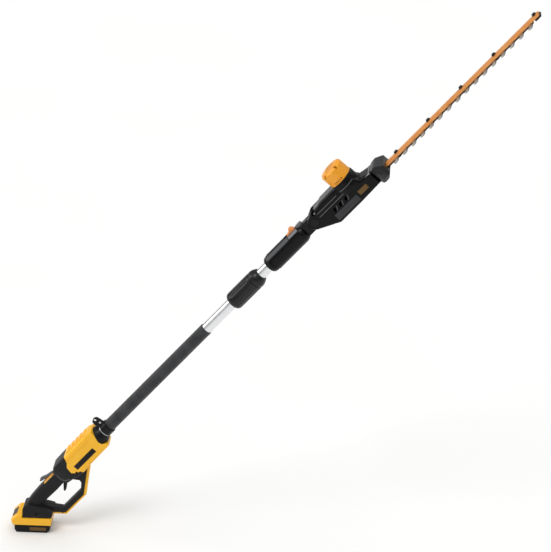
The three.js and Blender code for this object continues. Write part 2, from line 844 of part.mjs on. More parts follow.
function headBlank() {
  const side = across(HEAD_OUTLINE, -HEAD_HALF, HEAD_HALF, 10);
  const collar = turnedUp(
    [
      [0, -12],
      [30, -12],
      [MOTOR.collar, 2],
      [MOTOR.collar, 30],
      [MOTOR.collar - 1.5, MOTOR.capBase - GAP],
      [0, MOTOR.capBase - GAP],
    ],
    MOTOR.along,
  );
  return side.intersect(upward(mirrored(HEAD_PLAN), -70, 70)).add(collar);
}

const VENTS = [1411, 1433, 1455];
const HOUSING_SCREW = { along: 1362, y: -21, head: 18 };

function headCavities() {
  const { along, y, head } = HOUSING_SCREW;
  return [
    box(1300, SLOT_END, -TONGUE_HALF - 0.6, TONGUE_HALF + 0.6, -90, 90),
    box(SLOT_END - 2, 1392, -3.8, 3.8, PIVOT.up - 8.4, PIVOT.up + 8.4), // detent arm
    box(1378, 1462, -27, 27, -43, 26),
    rodUp(27.5, -5.5, 60, MOTOR.along, 0, 32),
    upward(rectangle(CASE.rear - GAP, CASE.front + GAP, -CASE.half - GAP, CASE.half + GAP),
      -46, CASE.top + 1),
    box(CASE.front, 1600, -BAR.half - 0.6, BAR.half + 0.6, -41.2, BAR.ridge + 0.5), // the blades' way out
    rodAcross(PIVOT.bolt + 0.2, -FAR, FAR, PIVOT.along, PIVOT.up),
    rodAcross(7.4, -FAR, -26, PIVOT.along, PIVOT.up),
    ...VENTS.map((x) => across(
      [[x - 6, -17], [x + 2, -17], [x + 7, -5], [x - 1, -5]], -FAR, FAR)),
    rodUp(6.5, head, 60, along, y, 16),
    box(along - 6.5, along + 6.5, -60, y, head, 60), // the screw's seat is open at the side
    rodUp(2, -10, 60, along, y, 8),
  ];
}

function motorCap() {
  const r = MOTOR.cap;
  const shell = turnedUp(
    [
      [r - 3, MOTOR.capBase],
      [r, MOTOR.capBase],
      [r, MOTOR.capTop - 7],
      [r - 4, MOTOR.capTop - 2],
      [r - 11, MOTOR.capTop],
      [0, MOTOR.capTop],
      [0, MOTOR.capTop - 3],
      [r - 12, MOTOR.capTop - 3],
      [r - 5, MOTOR.capTop - 5.5],
      [r - 3, MOTOR.capTop - 9],
      [r - 3, MOTOR.capBase],
    ],
    MOTOR.along,
  );
  const slots = [-16, -8, 0, 8, 16].map((y) =>
    box(MOTOR.along - 14, MOTOR.along + 14, y - 1.6, y + 1.6, 70, 80),
  );
  const sideVents = [-2, -1, 0, 1, 2].map((i) =>
    box(MOTOR.along + i * 6 - 1.3, MOTOR.along + i * 6 + 1.3, -40, -28, 36, 42),
  );
  return cutAll(joinAll([shell, ...CAP_SCREWS.map(capBoss)]), [
    ...slots,
    ...sideVents,
    ...CAP_SCREWS.map(capScrewPocket),
  ]);
}

// Five screws hold the cap; each has a boss inside it and a pocket in its rim.
const CAP_SCREWS = [0, 1, 2, 3, 4].map((i) => {
  const angle = THREE.MathUtils.degToRad(-52 - 72 * i);
  const reach = MOTOR.cap - 3.5;
  return { along: MOTOR.along + reach * Math.cos(angle), y: reach * Math.sin(angle) };
});
const CAP_SEAT = 66; // the floor of the screw pockets
const capScrewPocket = ({ along, y }) => rodUp(4, CAP_SEAT, 90, along, y, 12);
const capBoss = ({ along, y }) =>
  rodUp(5.4, MOTOR.capBase, MOTOR.capTop - 6, along, y, 12).intersect(
    rodUp(MOTOR.cap - 0.1, 20, 90, MOTOR.along, 0, 32),
  );

// A spur gear outline: each tooth is a trapezium that stays inside its own half pitch.
function gearOutline(teeth, x, phase) {
  const pitch = (teeth * TEETH.module) / 2;
  const root = pitch - 1.25 * TEETH.module;
  const tip = pitch + 0.9 * TEETH.module;
  const step = (2 * Math.PI) / teeth;
  const at = (radius, angle) => [x + radius * Math.cos(angle), radius * Math.sin(angle)];
  return Array.from({ length: teeth }, (_, i) => {
    const middle = phase + i * step;
    return [
      at(root, middle - step * 0.27),
      at(tip, middle - step * 0.1),
      at(tip, middle + step * 0.1),
      at(root, middle + step * 0.27),
    ];
  }).flat();
}

function driveGear() {
  const { bottom, top, hub, axle } = GEAR;
  const { radius, offset } = ECCENTRIC;
  const lower = BLADE.top - BLADE.thick - GAP;
  const whole = joinAll([
    upward(gearOutline(TEETH.gear, GEAR_ALONG, 0), bottom, top),
    rodUp(hub, BLADE.top, bottom + 1, GEAR_ALONG, 0, 24),
    rodUp(radius, lower, BLADE.top + 0.5, GEAR_ALONG + offset, 0, 24),
    rodUp(radius, lower - BLADE.thick, lower + GAP / 2, GEAR_ALONG - offset, 0, 24),
  ]);
  return whole.subtract(rodUp(axle + 0.2, -60, 0, GEAR_ALONG, 0, 16));
}

function gearCase() {
  const outline = rectangle(CASE.rear, CASE.front, -CASE.half, CASE.half);
  return cutAll(upward(outline, CASE.bottom, CASE.top), [
    rodUp(26, -22.5, -9.5, GEAR_ALONG, 0, 32),
    rodUp(7.5, -22.5, 0, MOTOR.along, 0, 20),
    box(CASE.rear + 1.5, GEAR_ALONG + 38.5, -24.5, 24.5, -60, -22.4),
    box(1540, 1560, -15, 15, -60, -26.5),
    rodUp(GEAR.axle + 0.2, -12, 0, GEAR_ALONG, 0, 16),
  ]);
}

const ringUp = (outer, inner, z0, z1, sides = 24) =>
  rodUp(outer, z0, z1, MOTOR.along, 0, sides).subtract(
    rodUp(inner, z0 - 1, z1 + 1, MOTOR.along, 0, sides),
  );

// Core, shaft, pinion and cooling fan are pressed together and turn as one.
function motorRotor() {
  const vanes = Array.from({ length: 8 }, (_, i) =>
    solid(
      new THREE.BoxGeometry(15, 1.6, 5)
        .translate(14, 0, 66.5)
        .rotateZ((i * Math.PI) / 4)
        .translate(MOTOR.along, 0, 0),
    ),
  );
  return joinAll([
    rodUp(14, 2, 48, MOTOR.along, 0, 24),
    rodUp(3, -22, 69, MOTOR.along, 0, 16),
    upward(
      gearOutline(TEETH.pinion, MOTOR.along, Math.PI / TEETH.pinion),
      GEAR.bottom - 0.5,
      GEAR.top + 0.5,
    ),
    rodUp(22, 62, 64.5, MOTOR.along, 0, 24),
    ...vanes,
  ]);
}

// One side of a blade from the yoke to the tip: a hooked tooth at every pitch.
function bladeSide() {
  const teeth = Array.from({ length: TOOTH.count }, (_, i) => {
    const x = TOOTH.first + i * TOOTH.pitch;
    return [
      [x - 8, BLADE.spine],
      [x - 3, 24],
      [x - 9, BLADE.reach - 3],
      [x - 4, BLADE.reach],
      [x + 4, BLADE.reach - 2],
      [x + 7.5, BLADE.spine],
    ];
  }).flat();
  const yoke = 2 * STROKE + ECCENTRIC.radius + 4;
  return [
    [GEAR_ALONG - yoke, 17.5],
    [GEAR_ALONG - yoke + 6, 23.5],
    [GEAR_ALONG + yoke - 6, 23.5],
    [GEAR_ALONG + yoke, 17.5],
    [GEAR_ALONG + yoke, 12],
    [BLADE.start, 12],
    ...teeth,
    [BLADE.end, BLADE.spine - 3],
  ];
}

function blade(top) {
  const slots = BOLTS.filter((x) => x < BLADE.end).map((x) =>
    slotOutline(x, STROKE + 5, 4.6),
  );
  const sweep = ECCENTRIC.radius + ECCENTRIC.offset;
  const yokeSlot = slotOutline(GEAR_ALONG, sweep + STROKE + 0.5, sweep + 0.5);
  return upward(mirrored(bladeSide()), top - BLADE.thick, top, 0, [yokeSlot, ...slots]);
}

function supportBar() {
  const { half, bottom, top, ridge } = BAR;
  const section = [
    [-half, bottom],
    [half, bottom],
    [half, top],
    [9, top],
    [6, ridge],
    [-6, ridge],
    [-9, top],
    [-half, top],
  ];
  return cutAll(
    lengthwise(section, BAR.start, BAR.end),
    BOLTS.map((x) => rodUp(4.3, -60, 0, x, 0, 12)),
  );
}

const bladeBolt = (x) =>
  joinAll([
    rodUp(6, BAR.ridge + GAP, BAR.ridge + 5, x, 0, 6),
    rodUp(3.6, -40, BAR.ridge + 1, x, 0, 12),
    rodUp(6.4, -41.4, -38.8, x, 0, 12),
  ]);

function tipGuard() {
  const plan = mirrored([
    [2157.6, BAR.half],
    [BAR.end + 1.5, BAR.half],
    [BAR.end + 3, BAR.half - 2],
  ]);
  return upward(plan, -38.4, BAR.bottom - GAP).subtract(rodUp(4, -60, 0, BOLTS[4], 0, 12));
}

// The hand guard ahead of the nose: a broad block with every corner cut back.
function guardShield() {
  const plan = mirrored([
    [HEAD_FRONT + GAP, 26],
    [1563, 38],
    [1573, 45],
    [1588, 45],
    [1597, 36],
  ]);
  const side = [
    [HEAD_FRONT + GAP, -5],
    [1576, -3],
    [1597, -16],
    [1597, -42],
    [1583, -54],
    [1568, -56],
    [HEAD_FRONT + GAP, -50],
  ];
  const front = [
    [-45, -44],
    [-45, -26],
    [-32, -3],
    [32, -3],
    [45, -26],
    [45, -44],
    [34, -56],
    [-34, -56],
  ];
  return upward(plan, -80, 20)
    .intersect(across(side, -60, 60))
    .intersect(lengthwise(front, 1540, 1610))
    .subtract(box(1540, 1610, -BAR.half - 0.6, BAR.half + 0.6, -41.2, BAR.ridge + 0.5));
}

function addHead() {
  const hollow = cutAll(headBlank(), headCavities());
  const above = box(1200, 1700, -60, 60, HEAD_SEAM + GAP / 2, 60);
  const below = box(1200, 1700, -60, 60, -90, HEAD_SEAM - GAP / 2);
  addNode(tool, "head_upper_housing", hollow.intersect(above), BLACK);
  addNode(tool, "head_lower_housing", hollow.intersect(below), BLACK);
  const { along, y, head } = HOUSING_SCREW;
  const screw = joinAll([
    rodUp(5.4, head + GAP, head + 4, along, y, 16),
    rodUp(1.6, -8, head + 1, along, y, 8),
  ]);
  addNode(tool, "housing_screw", screw, BRIGHT);
  addNode(tool, "motor_cap", motorCap(), ORANGE);

  const stator = joinAll([ringUp(26, 15, -4, 54), ringUp(26, 8.3, 53.5, 60)]);
  addNode(tool, "motor_stator", stator, COPPER);
  addNode(tool, "motor_rotor", motorRotor(), STEEL);
  addNode(tool, "motor_bearing_top", ringUp(8, 3.2, 54.5, 59.5), BRIGHT);
  addNode(tool, "motor_bearing_bottom", ringUp(7.2, 3.2, -9.3, -6.2), BRIGHT);

  addNode(tool, "gear_case", gearCase(), CAST);
  const cover = rectangle(CASE.rear, CASE.front, -CASE.half, CASE.half);
  addNode(tool, "gear_case_cover", upward(cover, CASE.bottom - 3.3, CASE.bottom - GAP), CAST);
  addNode(tool, "drive_gear", driveGear(), STEEL);
  addNode(tool, "gear_axle", rodUp(GEAR.axle, -41.8, -6.3, GEAR_ALONG, 0, 16), BRIGHT);

  addNode(tool, "upper_blade", blade(BLADE.top), BLADE_STEEL);
  addNode(tool, "lower_blade", blade(BLADE.top - BLADE.thick - GAP), BLADE_STEEL);
  addNode(tool, "support_bar", supportBar(), BLADE_ORANGE);
  BOLTS.forEach((x, i) => addNode(tool, "blade_bolt_" + (i + 1), bladeBolt(x), STEEL));
  addNode(tool, "tip_guard", tipGuard(), BLACK);
  addNode(tool, "guard_shield", guardShield(), BLACK);
}

addBattery();
addHandle();
addPole();
addTiltJoint();
addHead();

export default trimmer;
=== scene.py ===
# Cordless pole hedge trimmer: battery handle, split pole, tilting cutter head.
# Metres, +Z up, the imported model's own frame. Sizes in the tool's own sections are millimetres.
import json
import math

import bmesh
import bpy
from mathutils import Matrix, Vector, noise


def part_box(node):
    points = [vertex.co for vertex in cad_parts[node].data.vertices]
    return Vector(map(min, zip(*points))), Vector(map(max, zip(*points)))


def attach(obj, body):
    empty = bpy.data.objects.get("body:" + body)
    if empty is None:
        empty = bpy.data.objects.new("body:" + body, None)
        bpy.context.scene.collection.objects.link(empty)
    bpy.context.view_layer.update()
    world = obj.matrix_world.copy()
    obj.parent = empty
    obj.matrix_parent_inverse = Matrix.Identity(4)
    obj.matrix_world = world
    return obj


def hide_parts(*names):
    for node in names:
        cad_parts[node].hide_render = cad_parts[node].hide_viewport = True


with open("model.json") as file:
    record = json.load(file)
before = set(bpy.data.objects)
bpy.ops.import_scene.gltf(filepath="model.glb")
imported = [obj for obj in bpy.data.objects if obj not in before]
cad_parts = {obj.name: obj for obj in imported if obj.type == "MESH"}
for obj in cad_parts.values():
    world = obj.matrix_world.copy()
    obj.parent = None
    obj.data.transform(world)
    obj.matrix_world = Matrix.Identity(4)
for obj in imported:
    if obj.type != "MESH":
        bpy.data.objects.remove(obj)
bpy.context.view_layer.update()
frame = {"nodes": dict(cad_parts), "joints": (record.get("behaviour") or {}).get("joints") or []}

# ---- Camera ----
# A long lens a few metres off, slightly above the tool and a little to its front,
# so that the right side, the tops of the housings and the blade all show.
camera_target = Vector((0.70755, 0.0, 0.83146))
camera_distance = 6.3435
camera_azimuth = math.radians(4)
camera_elevation = math.radians(25)
camera_back = Vector((
    math.sin(camera_azimuth) * math.cos(camera_elevation),
    -math.cos(camera_azimuth) * math.cos(camera_elevation),
    math.sin(camera_elevation),
))
camera_data = bpy.data.cameras.new("camera")
camera_data.lens = 150
camera_data.sensor_width = 36
camera = bpy.data.objects.new("camera", camera_data)
camera.location = camera_target + camera_distance * camera_back
camera.rotation_euler = (-camera_back).to_track_quat("-Z", "Y").to_euler()
bpy.context.scene.collection.objects.link(camera)
bpy.context.scene.camera = camera


# ---- Studio ----
# A plain pale floor, a broad high key lamp and a low side lamp from the viewer's left, a
# rim lamp from behind, a wide ceiling and an even white surround. None of it is the tool.
def linear(hex_colour):
    """An sRGB hex colour as linear red, green, blue and alpha."""
    channels = [int(hex_colour[i:i + 2], 16) / 255 for i in (1, 3, 5)]
    return [c / 12.92 if c <= 0.04045 else ((c + 0.055) / 1.055) ** 2.4 for c in channels] + [1]


def add(matter, kind, inputs=(), **settings):
    """One node: settings are its own properties, inputs its sockets' values or links."""
    node = matter.node_tree.nodes.new(kind)
    for key, value in settings.items():
        setattr(node, key, value)
    for socket, value in dict(inputs).items():
        if isinstance(value, bpy.types.NodeSocket):
            matter.node_tree.links.new(value, node.inputs[socket])
        else:
            node.inputs[socket].default_value = value
    return node


def new_matter(name):
    """An empty node material."""
    matter = bpy.data.materials.new(name)
    matter.use_nodes = True
    matter.node_tree.nodes.clear()
    return matter


def painted_floor():
    """White distemper on board: matt, with a trace of roller unevenness."""
    matter = new_matter("distempered_board")
    place = add(matter, "ShaderNodeTexCoord").outputs["Object"]
    patches = add(matter, "ShaderNodeTexNoise", {"Vector": place, "Scale": 1.3, "Detail": 2})
    tone = add(matter, "ShaderNodeMix", {
        0: patches.outputs["Fac"], 6: linear("#f4f4f3"), 7: linear("#fafaf9"),
    }, data_type="RGBA")
    shader = add(matter, "ShaderNodeBsdfPrincipled", {
        "Base Color": tone.outputs[2], "Roughness": 0.9, "Specular IOR Level": 0.1,
    })
    add(matter, "ShaderNodeOutputMaterial", {"Surface": shader.outputs[0]})
    return matter


floor_size = 40
floor_shape = bmesh.new()
bmesh.ops.create_grid(floor_shape, x_segments=1, y_segments=1, size=floor_size)
floor_mesh = bpy.data.meshes.new("studio_floor")
floor_shape.to_mesh(floor_mesh)
floor_shape.free()
floor_mesh.materials.append(painted_floor())
studio_floor = bpy.data.objects.new("studio_floor", floor_mesh)
bpy.context.scene.collection.objects.link(studio_floor)


def sky_lamp(name, heading, height, spread, power):
    """A far round lamp: its heading, height above the floor and apparent size in degrees."""
    data = bpy.data.lights.new(name, "SUN")
    data.energy = power
    data.angle = math.radians(spread)
    lamp = bpy.data.objects.new(name, data)
    lamp.rotation_euler = (math.radians(90 - height), 0, math.radians(heading))
    bpy.context.scene.collection.objects.link(lamp)


sky_lamp("key_lamp", -36, 60, 24, 0.9)
sky_lamp("side_lamp", -88, 26, 30, 0.75)
sky_lamp("rim_lamp", 142, 50, 46, 0.5)
sky_lamp("ceiling", 0, 84, 110, 0.75)
surround_strength = 0.38
world = bpy.data.worlds.new("studio_air")
world.use_nodes = True
world.node_tree.nodes["Background"].inputs["Color"].default_value = linear("#ffffff")
world.node_tree.nodes["Background"].inputs["Strength"].default_value = surround_strength
bpy.context.scene.world = world
bpy.context.scene.view_settings.view_transform = "Standard"

# ---- Battery pack ----
# A slide-on pack: black lower tub, yellow lid with a raised rear block, grey release
# button in its slanted back. Injection-moulded ABS halves over ten steel cells.
mm = 0.001
to_floor_frame = Matrix.Scale(mm, 4)


def moulded_or_baked(name, colour, paler_tone, roughness, grain, depth, sheen=0.5, metal=0.0):
    """A moulded or baked skin: fine even grain (its size and depth in millimetres), a tone
    that clouds slightly as the melt or coat flowed, and paler corners: rubbed wear, and on
    the orange enamel also a painted highlight along the bar's edges."""
    matter = new_matter(name)
    place = add(matter, "ShaderNodeTexCoord").outputs["Object"]
    grains = add(matter, "ShaderNodeTexNoise", {
        "Vector": place, "Scale": 1 / (grain * mm), "Detail": 3, "Roughness": 0.6,
    })
    clouds = add(matter, "ShaderNodeTexNoise", {"Vector": place, "Scale": 28, "Detail": 3})
    edges = add(matter, "ShaderNodeMapRange", {
        "Value": add(matter, "ShaderNodeNewGeometry").outputs["Pointiness"],
        "From Min": 0.51, "From Max": 0.62, "To Min": 0.0, "To Max": 0.3,
    })
    flow = add(matter, "ShaderNodeMapRange", {
        "Value": clouds.outputs["Fac"], "From Min": 0.3, "From Max": 0.7, "To Max": 0.22,
    })
    tone = add(matter, "ShaderNodeMix", {
        0: flow.outputs[0], 6: linear(colour), 7: linear(paler_tone),
    }, data_type="RGBA")
    # Paler convex edges: rubbed wear, and on the orange enamel also a painted highlight.
    paler_edges = add(matter, "ShaderNodeMix", {
        0: edges.outputs[0], 6: tone.outputs[2], 7: linear(paler_tone),
    }, data_type="RGBA")
    polish = add(matter, "ShaderNodeMapRange", {
        "Value": clouds.outputs["Fac"], "To Min": roughness - 0.08, "To Max": roughness + 0.1,
    })
    bump = add(matter, "ShaderNodeBump", {
        "Height": grains.outputs["Fac"], "Strength": 0.6, "Distance": depth * mm,
    })
    shader = add(matter, "ShaderNodeBsdfPrincipled", {
        "Base Color": paler_edges.outputs[2], "Roughness": polish.outputs[0],
        "Normal": bump.outputs[0], "IOR": 1.5, "Specular IOR Level": sheen, "Metallic": metal,
    })
    add(matter, "ShaderNodeOutputMaterial", {"Surface": shader.outputs[0]})
    return matter


# Injection-moulded ABS takes a satin shine; nylon is darker, with a weaker highlight.
# Acetal is duller still, and printed film is nearly flat and grainless.
yellow_abs = moulded_or_baked("yellow_abs", "#f8b50a", "#ffcb33", 0.33, 0.9, 0.10)
black_nylon = moulded_or_baked("black_nylon", "#070708", "#222224", 0.34, 0.9, 0.14, 0.2)
grey_acetal = moulded_or_baked("grey_acetal", "#4a4a4d", "#6c6c70", 0.45, 0.7, 0.08)
label_film = moulded_or_baked("bronze_label_film", "#5d4318", "#7a5c2a", 0.38, 0.5, 0.03, 0.3)
smooth_angle = math.radians(38)
both_sides = ((-1, "right"), (1, "left"))
joints = {joint["name"]: joint for joint in frame["joints"]}


def dress(node, matter, rounding=0.5, segments=2):
    """Gives a CAD node its material, closes its loose triangles and rounds its edges."""
    piece = frame["nodes"][node]
    piece.data.materials.clear()
    piece.data.materials.append(matter)
    if "custom_normal" in piece.data.attributes:
        piece.data.attributes.remove(piece.data.attributes["custom_normal"])
    piece.data.shade_smooth()
    weld = piece.modifiers.new("closed", "WELD")
    weld.merge_threshold = 0.01 * mm
    flats = piece.modifiers.new("flats", "DECIMATE")
    flats.decimate_type = "DISSOLVE"
    flats.angle_limit = math.radians(0.6)
    rounded = piece.modifiers.new("rounded", "BEVEL")
    rounded.width = rounding * mm
    rounded.segments = segments
    rounded.limit_method = "ANGLE"
    rounded.angle_limit = smooth_angle
    rounded.use_clamp_overlap = True
    even = piece.modifiers.new("even", "WEIGHTED_NORMAL")
    even.weight = 90
    return piece


def block(shape, low, high, rounding, segments=2):
    """A block between two corners with rounded edges, in its own corner of the shape."""
    low, high = Vector(low), Vector(high)
    centre = Matrix.Translation((low + high) / 2) @ Matrix.Diagonal(high - low).to_4x4()
    corners = bmesh.ops.create_cube(shape, size=1, matrix=centre)["verts"]
    edges = {edge for corner in corners for edge in corner.link_edges}
    bmesh.ops.bevel(shape, geom=list(edges), offset=rounding, offset_type="OFFSET",
                    segments=segments, profile=0.5, affect="EDGES", material=-1)


def side_block(shape, side, face, proud, low, high, rounding):
    """A block standing proud of a side face at y = face; corners are (along, up)."""
    block(shape, (low[0], min(face, face + side * proud), low[1]),
          (high[0], max(face, face + side * proud), high[1]), rounding)


def cross_rib(shape, place, radius, length, segments=12):
    """A round finger rib lying across the tool."""
    bmesh.ops.create_cone(shape, cap_ends=True, segments=segments, radius1=radius,
                          radius2=radius, depth=length, matrix=Matrix.Translation(place)
                          @ Matrix.Rotation(math.pi / 2, 4, "X"))


def make_piece(name, shape, matter, body, stands_for=(), to_metres=to_floor_frame):
    """Turns a finished shape into a piece that rides on a body."""
    shape.transform(to_metres)
    bmesh.ops.recalc_face_normals(shape, faces=shape.faces)
    mesh = bpy.data.meshes.new(name)
    shape.to_mesh(mesh)
    shape.free()
    mesh.shade_smooth()
    mesh.set_sharp_from_angle(angle=smooth_angle)
    mesh.materials.append(matter)
    piece = bpy.data.objects.new(name, mesh)
    bpy.context.scene.collection.objects.link(piece)
    if stands_for:
        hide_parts(*stands_for)
    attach(piece, body)
    return piece


dress("battery_lower_case", black_nylon, 0.7)
dress("battery_upper_case", yellow_abs, 0.6)
dress("battery_button", grey_acetal, 0.8)

# Blank rating plate on each side of the tub, in a moulded frame, with pull ribs behind.
tub_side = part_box("battery_lower_case")[1].y / mm
first_pull_rib, pull_rib_width, pull_rib_pitch = -42, 2.8, 5.2
for side, hand in both_sides:
    face = side * tub_side
    plate = bmesh.new()
    side_block(plate, side, face, 0.5, (-8, 7.5), (40, 18.5), 0.2)
    make_piece("battery_plate_" + hand, plate, label_film, "battery_pack")
    ribs = bmesh.new()
    for i in range(5):
        along = first_pull_rib + pull_rib_pitch * i
        side_block(ribs, side, face, 0.9, (along, 7), (along + pull_rib_width, 18), 0.4)
    make_piece("battery_ribs_" + hand, ribs, black_nylon, "battery_pack")

# Finger ribs across the release button, laid along its slanted face.
button_half_depth, button_rib_pitch = 4.1, 4
button_low, button_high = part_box("battery_button")
outward = -Vector(joints["battery_button_press"]["axis"])
uphill = Vector((-outward.z, 0, outward.x))
face_middle = (button_low + button_high) / 2 / mm + outward * button_half_depth
button_ribs = bmesh.new()
for i in (-1, 0, 1):
    cross_rib(button_ribs, face_middle + uphill * (button_rib_pitch * i), 0.9, 24, 16)
make_piece("battery_button_ribs", button_ribs, grey_acetal, "battery_button")

# ---- The tool's own frame ----
# Everything ahead of the pack is drawn as on the bench: x along the pole, y to the
# user's left, z up, in millimetres from where the pole's axis meets the floor.
pole_axis = Vector(joints["head_pull_out"]["axis"])
on_pole = Vector(joints["coupling_twist"]["pos_m"])
axis_foot = on_pole - pole_axis * (on_pole.z / pole_axis.z)
lean = math.atan2(pole_axis.z, pole_axis.x)
to_tool_frame = (Matrix.Translation(axis_foot) @ Matrix.Rotation(-lean, 4, "Y")
                 @ Matrix.Scale(mm, 4))
from_world = to_tool_frame.inverted()


def span(*nodes):
    """Lowest and highest corner of CAD nodes in the tool's frame, in millimetres."""
    points = [from_world @ v.co for n in nodes for v in frame["nodes"][n].data.vertices]
    return (Vector([min(p[i] for p in points) for i in range(3)]),
            Vector([max(p[i] for p in points) for i in range(3)]))


def tool_piece(name, shape, matter, body, slot, *stands_for):
    """A piece drawn in the tool's frame."""
    return make_piece(name, shape, matter, body, stands_for, to_tool_frame)


def turned(shape, profile, steps=72):
    """A closed (radius, along) outline spun round the pole's axis."""
    corners = [shape.verts.new((along, 0, radius)) for radius, along in profile]
    loop = [shape.edges.new((a, b)) for a, b in zip(corners, corners[1:] + corners[:1])]
    bmesh.ops.spin(shape, geom=corners + loop, cent=(0, 0, 0), axis=(1, 0, 0),
                   angle=2 * math.pi, steps=steps, use_merge=True)
    bmesh.ops.remove_doubles(shape, verts=shape.verts, dist=0.001)


def ribbon(shape, route, width, thickness):
    """A flat moulded strip along a route of (along, y, up) points, standing off the side."""
    rows = []
    for i, point in enumerate(route):
        ahead = Vector(route[min(i + 1, len(route) - 1)]) - Vector(route[max(i - 1, 0)])
        across = Vector((-ahead.z, 0, ahead.x)).normalized() * width / 2
        rows.append((shape.verts.new(Vector(point) - across),
                     shape.verts.new(Vector(point) + across)))
    faces = [shape.faces.new((a[0], b[0], b[1], a[1])) for a, b in zip(rows, rows[1:])]
    side = math.copysign(1, route[0][1])
    grown = bmesh.ops.extrude_face_region(shape, geom=faces)["geom"]
    moved = [v for v in grown if isinstance(v, bmesh.types.BMVert)]
    bmesh.ops.translate(shape, verts=moved, vec=(0, side * thickness, 0))
    rims = [e for v in moved for e in v.link_edges if all(w in moved for w in e.verts)
            and len([f for f in e.link_faces if all(w in moved for w in f.verts)]) == 1]
    bmesh.ops.bevel(shape, geom=list(set(rims)), offset=thickness * 0.45,
                    offset_type="OFFSET", segments=2, profile=0.5, affect="EDGES", material=-1)


# ---- Rear handle ----
# Two nylon half shells screwed together from the right, overmoulded with soft black
# elastomer where the hand goes; a yellow strip is clipped under the guard.
def overmoulded_elastomer():
    """Soft TPE: dull, pebbled by its etched mould, with a slight bloom."""
    matter = new_matter("overmoulded_elastomer")
    place = add(matter, "ShaderNodeTexCoord").outputs["Object"]
    pebbles = add(matter, "ShaderNodeTexVoronoi", {"Vector": place, "Scale": 1 / (1.8 * mm)})
    bloom = add(matter, "ShaderNodeTexNoise", {"Vector": place, "Scale": 22, "Detail": 4})
    amount = add(matter, "ShaderNodeMapRange", {
        "Value": bloom.outputs["Fac"], "From Min": 0.35, "From Max": 0.7, "To Max": 0.5,
    })
    tone = add(matter, "ShaderNodeMix", {
        0: amount.outputs[0], 6: linear("#080809"), 7: linear("#151517"),
    }, data_type="RGBA")
    dullness = add(matter, "ShaderNodeMapRange", {
        "Value": bloom.outputs["Fac"], "To Min": 0.5, "To Max": 0.72,
    })
    bump = add(matter, "ShaderNodeBump", {
        "Height": pebbles.outputs["Distance"], "Strength": 0.5, "Distance": 0.2 * mm,
    })
    shader = add(matter, "ShaderNodeBsdfPrincipled", {
        "Base Color": tone.outputs[2], "Roughness": dullness.outputs[0],
        "Normal": bump.outputs[0], "IOR": 1.48, "Specular IOR Level": 0.32,
        "Sheen Weight": 0.08,
    })
    add(matter, "ShaderNodeOutputMaterial", {"Surface": shader.outputs[0]})
    return matter


elastomer = overmoulded_elastomer()
dress("handle_shell_right", elastomer, 1.0)
dress("handle_shell_left", elastomer, 1.0)
dress("guard_trim", yellow_abs, 0.6)

# Slim grip ribs in the soft cover, on both sides of the rear grip.
grip_side = 16.5
first_grip_rib, grip_rib_width, grip_rib_pitch, grip_taper = 118, 2.6, 6.2, 0.18
for side, hand in both_sides:
    grip_ribs = bmesh.new()
    for i in range(13):
        along = first_grip_rib + grip_rib_pitch * i
        side_block(grip_ribs, side, side * grip_side, 1.1, (along, -11),
                   (along + grip_rib_width, 5 + grip_taper * i), 0.45)
    tool_piece("grip_ribs_" + hand, grip_ribs, elastomer, "handle", "black_overmould")

# A pale grey strip along the lip where the swollen body rises out of the grip: a painted highlight on
# that lip.
for side, hand in both_sides:
    rim_highlight = bmesh.new()
    ribbon(rim_highlight, [(244, side * 26.7, 13), (240, side * 23.8, 6), (239, side * 23.1, -3),
                 (242, side * 25.2, -11), (250, side * 29.1, -18), (262, side * 32.0, -22)], 2.6, 2.3)
    tool_piece("body_rim_highlight_" + hand, rim_highlight, grey_acetal, "handle", "grey_plastic")

# ---- Front housing ----
# Two yellow ABS half shells that carry the pole's foot and the control module. Their
# sides are plain but for one long moulded ridge and a blank dark name plate.
dress("front_housing_right", yellow_abs, 0.8)
dress("front_housing_left", yellow_abs, 0.8)
housing_side = span("front_housing_right", "front_housing_left")[1].y
for side, hand in both_sides:
    face = side * (housing_side - 0.15)
    ridge = bmesh.new()
    ribbon(ridge, [(298, face, 22.5), (312, face, 24.5), (392, face, 24.5)], 2.6, 1.6)
    tool_piece("housing_ridge_" + hand, ridge, yellow_abs, "handle", "yellow_plastic")
    plate = bmesh.new()
    side_block(plate, side, face, 0.6, (302, -18.5), (386, -3), 0.25)
    tool_piece("housing_plate_" + hand, plate, black_nylon, "handle", "black_plastic")


def screw(shape, place, outward, radius, socket):
    """A pan-head screw seen from outside: domed head with a hexagon insert."""
    turn = Vector((0, 0, 1)).rotation_difference(Vector(outward)).to_matrix().to_4x4()
    seat = Matrix.Translation(place) @ turn
    head = bmesh.ops.create_cone(shape, cap_ends=True, segments=24, radius1=radius,
                                 radius2=radius, depth=1.6, matrix=seat)["verts"]
    top = [f for f in {f for v in head for f in v.link_faces}
           if len(f.verts) == 24 and f.normal.dot(Vector(outward)) > 0.9]
    rim = [e for f in top for e in f.edges]
    bmesh.ops.bevel(shape, geom=rim, offset=0.6, offset_type="OFFSET", segments=3,
                    profile=0.5, affect="EDGES", material=-1)
    bmesh.ops.create_cone(shape, cap_ends=True, segments=6, radius1=socket, radius2=socket,
                          depth=0.5, matrix=seat @ Matrix.Translation((0, 0, 0.75)))


